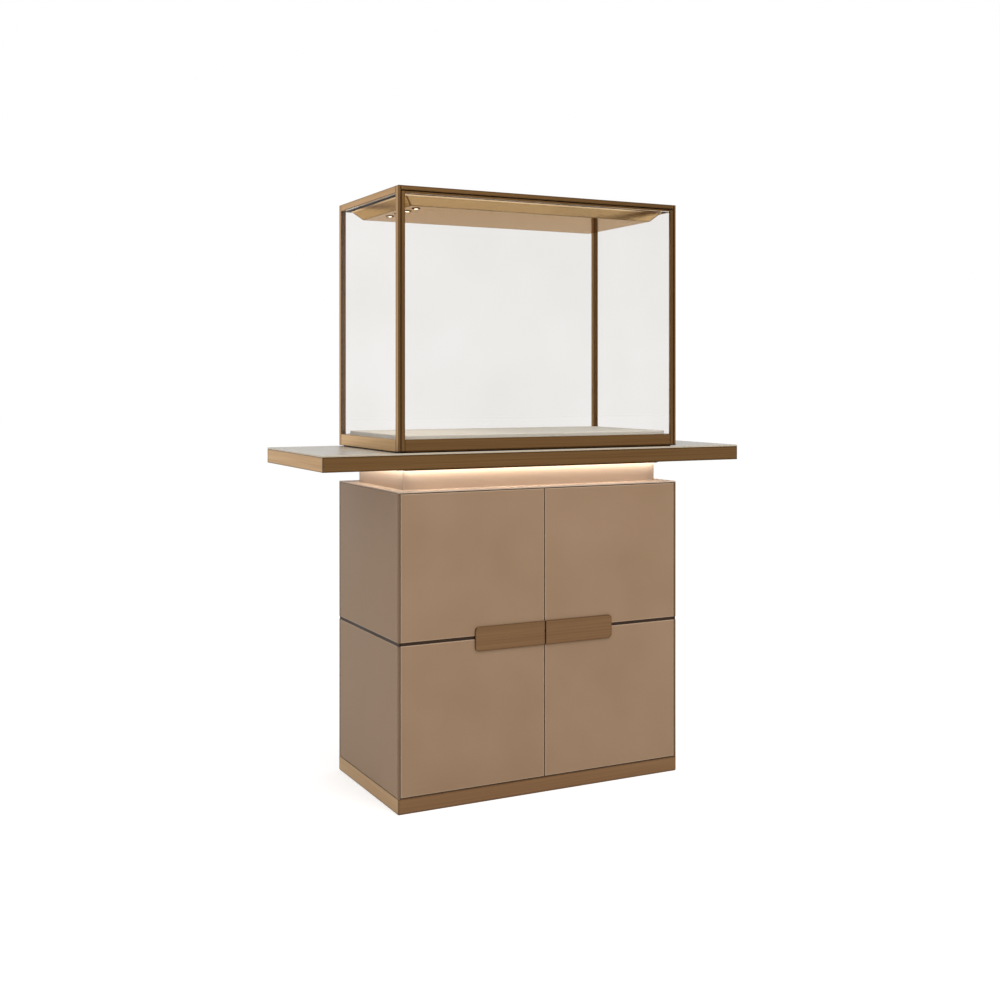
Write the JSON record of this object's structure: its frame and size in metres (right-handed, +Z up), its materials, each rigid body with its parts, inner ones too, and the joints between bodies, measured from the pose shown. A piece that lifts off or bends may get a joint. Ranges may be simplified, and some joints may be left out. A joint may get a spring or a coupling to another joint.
{
  "type": "glass display case",
  "caption": "Free-standing display case: lacquered base cabinet with hinged doors, a lit recessed neck, a wide counter and a bronze-framed glass vitrine with a hinged front.",
  "frame": {"origin": "on the floor, under the middle of the counter's outline", "axes": "+X to the right seen from the front, the front faces -Y, +Z up"},
  "size_m": [1.188, 0.438, 1.511],
  "materials": {
    "bronze": "bronze-toned, brushed along its length",
    "polished_bronze": "bronze-toned, polished",
    "taupe_lacquer": "satin lacquer on board",
    "carcass_board": "matt board",
    "peach_lacquer": "matt lacquer on board",
    "pale_top": "smooth honed",
    "deck_lacquer": "pale matt lacquer on board",
    "dark_lacquer": "matt lacquer on board",
    "clear_glass": "clear, polished",
    "hardware_steel": "bright",
    "channel_aluminium": "dark bronze anodised",
    "light_emitter": "warm white, lit",
    "black_plastic": "fine matt"
  },
  "bodies": {
    "case": {"plinth_frame": "carcass_board", "plinth_band": "bronze", "carcass_bottom": "carcass_board", "carcass_top": "carcass_board", "centre_divider": "carcass_board", "carcass_back": "carcass_board", "carcass_left_side": "carcass_board", "carcass_right_side": "carcass_board", "shelves": "carcass_board", "shelf_cleats": "carcass_board", "left_side_panels": "taupe_lacquer", "right_side_panels": "taupe_lacquer", "corner_trims": "taupe_lacquer", "ledge_panel": "peach_lacquer", "ledge_trim": "peach_lacquer", "base_pivot_plates": "hardware_steel", "magnet_catches": "black_plastic", "neck_panels": "peach_lacquer", "power_inlet": "black_plastic", "led_channels": "channel_aluminium", "led_strips": "light_emitter", "led_diffusers": "light_emitter", "led_driver": "black_plastic", "counter_core": "carcass_board", "counter_top": "pale_top", "counter_edge_band": "bronze", "vitrine_foot": "dark_lacquer", "vitrine_floor": "carcass_board", "display_deck": "deck_lacquer", "vitrine_base_rails": "bronze", "left_glass": "clear_glass", "right_glass": "clear_glass", "posts": "bronze", "top_rails": "bronze", "rear_glass": "clear_glass", "glass_door_pivot_plates": "hardware_steel", "ceiling_board": "dark_lacquer", "top_cover": "bronze", "ceiling_tray": "polished_bronze", "spot_housings": "channel_aluminium", "spot_bezels": "polished_bronze", "spot_lenses": "light_emitter"},
    "glass_door": {"glass_door_frame": "bronze", "glass_door_pane": "clear_glass", "glass_door_strike": "hardware_steel"},
    "left_door": {"left_door_core": "carcass_board", "left_door_upper_panel": "taupe_lacquer", "left_door_lower_panel": "taupe_lacquer", "left_door_handle": "bronze", "left_door_pivot_sockets": "hardware_steel", "left_door_strike": "hardware_steel", "left_handle_screws": "hardware_steel"},
    "right_door": {"right_door_core": "carcass_board", "right_door_upper_panel": "taupe_lacquer", "right_door_lower_panel": "taupe_lacquer", "right_door_handle": "bronze", "right_door_pivot_sockets": "hardware_steel", "right_door_strike": "hardware_steel", "right_handle_screws": "hardware_steel"}
  },
  "joints": [
    {"name": "left_door_hinge", "type": "hinge", "parent": "case", "child": "left_door", "pos_m": [-0.3878, -0.201, 0.4045], "axis": [0, 0, -1], "range_deg": [0, 100]},
    {"name": "right_door_hinge", "type": "hinge", "parent": "case", "child": "right_door", "pos_m": [0.3878, -0.201, 0.4045], "axis": [0, 0, 1], "range_deg": [0, 100]},
    {"name": "glass_door_hinge", "type": "hinge", "parent": "case", "child": "glass_door", "pos_m": [0.3875, -0.2025, 1.185], "axis": [0, 0, 1], "range_deg": [0, 95]}
  ]
}
